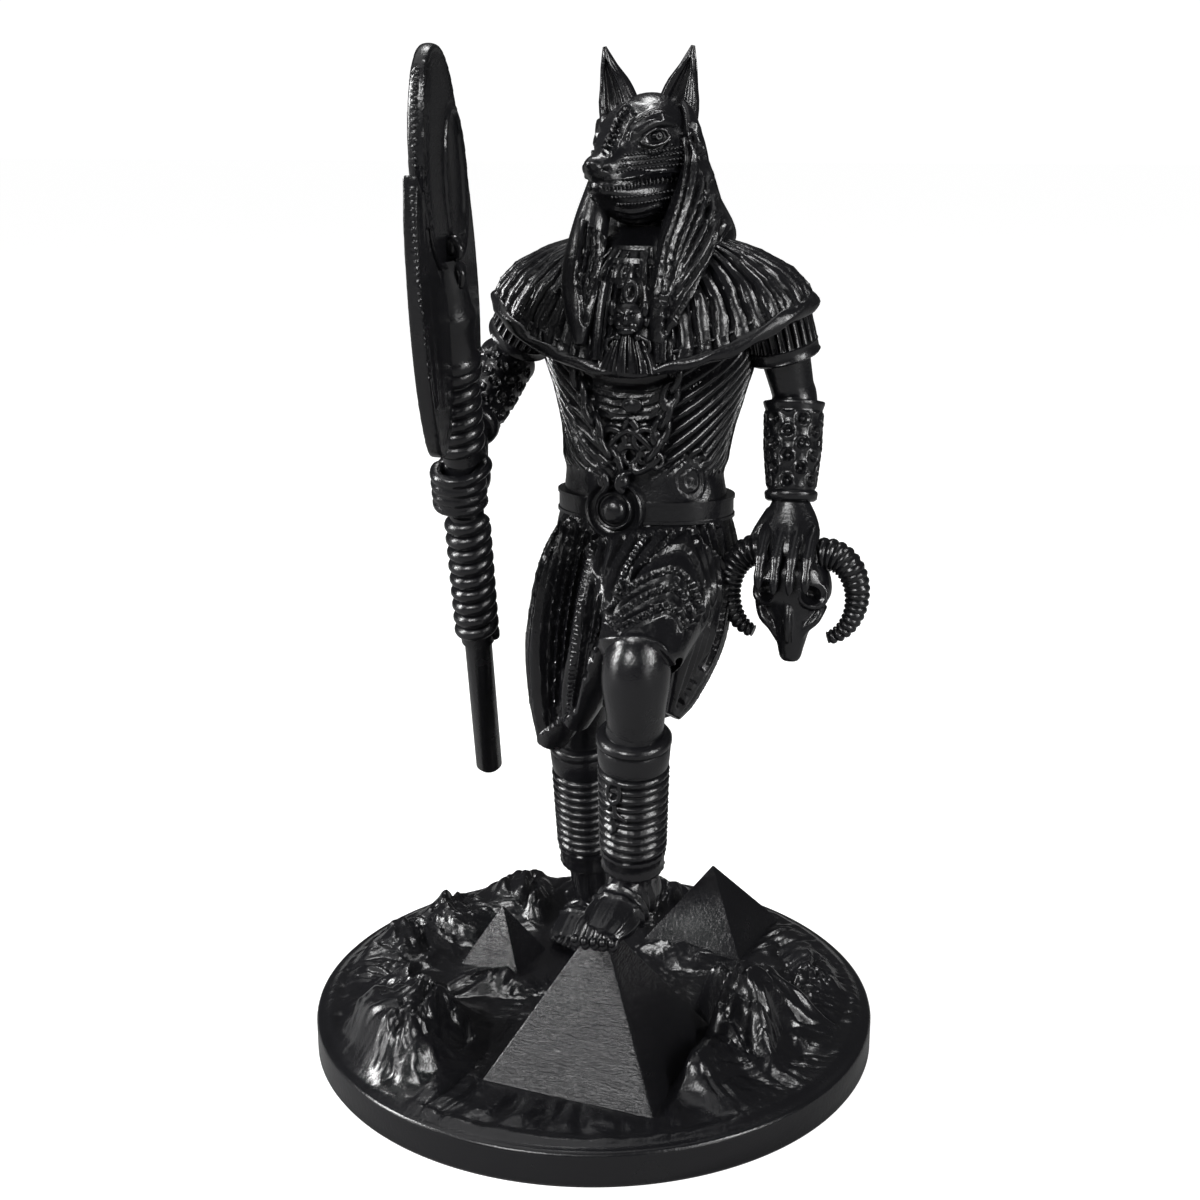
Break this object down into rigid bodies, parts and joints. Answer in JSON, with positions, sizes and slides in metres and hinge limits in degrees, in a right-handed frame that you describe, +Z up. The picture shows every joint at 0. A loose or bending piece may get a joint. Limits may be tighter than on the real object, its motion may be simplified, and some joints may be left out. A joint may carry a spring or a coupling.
{
  "type": "jackal guardian statuette",
  "caption": "Standing jackal-headed guardian statuette in a ribbed cape and kilt, holding a tall staff and a ram skull, one foot on a pyramid, on a round rocky base.",
  "frame": {"origin": "centre of the round base's underside", "axes": "+Z up; the statuette faces -Y; its left hand, with the ram skull, is towards +X"},
  "size_m": [0.16, 0.1588, 0.2714],
  "materials": {
    "black_resin_base": "satin gloss",
    "black_resin_figure": "satin gloss",
    "black_resin_staff": "satin gloss"
  },
  "bodies": {
    "root": {"base": "black_resin_base", "figure": "black_resin_figure", "staff": "black_resin_staff"}
  },
  "joints": []
}
